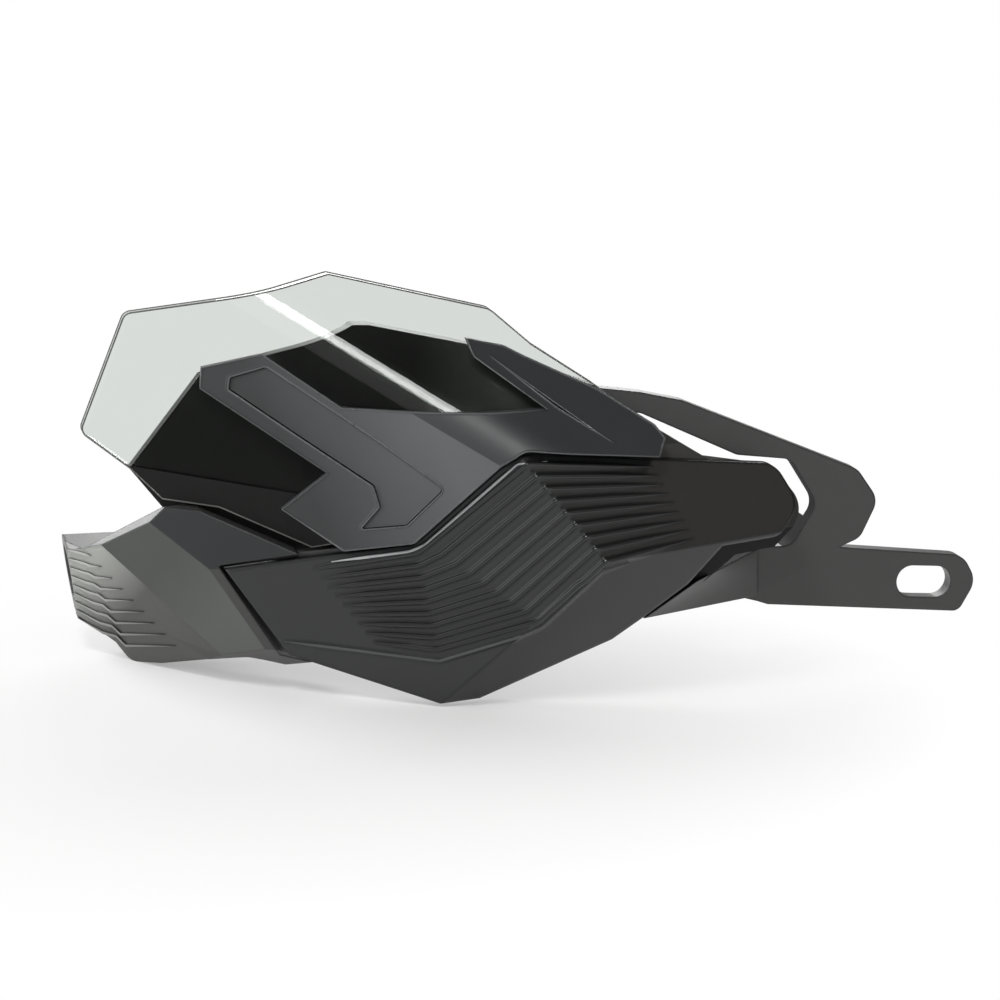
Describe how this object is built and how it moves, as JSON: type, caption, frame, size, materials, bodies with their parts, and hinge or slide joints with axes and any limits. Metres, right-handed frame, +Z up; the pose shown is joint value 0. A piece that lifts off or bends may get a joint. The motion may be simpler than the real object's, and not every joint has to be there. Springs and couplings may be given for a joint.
{
  "type": "motorcycle hand guard",
  "caption": "Full-wrap hand guard for a handlebar end: moulded frame with bar-end lug, loop and slotted strap, ribbed front band, satin cover and bent clear wind screen.",
  "frame": {"origin": "on the axis of the bar-end hole, where the bolt's washer seats on the lug's spot face", "axes": "+X inboard along the handlebar end, +Y back towards the rider, +Z up"},
  "size_m": [0.2492, 0.1137, 0.1116],
  "materials": {
    "frame_plastic": "satin moulded nylon, black",
    "band_plastic": "gloss black",
    "cover_plastic": "satin charcoal",
    "screen_clear": "clear polycarbonate",
    "steel": "zinc plated",
    "brass": "turned",
    "grommet_rubber": "matt"
  },
  "bodies": {
    "root": {"frame": "frame_plastic", "front_band": "band_plastic", "upper_cover": "cover_plastic", "wind_screen": "screen_clear", "bar_end_sleeve": "steel", "screen_grommets": "grommet_rubber", "cover_inserts": "brass", "cover_washers": "steel", "cover_screws": "steel", "band_inserts": "brass", "band_washers": "steel", "band_screws": "steel"}
  },
  "joints": []
}
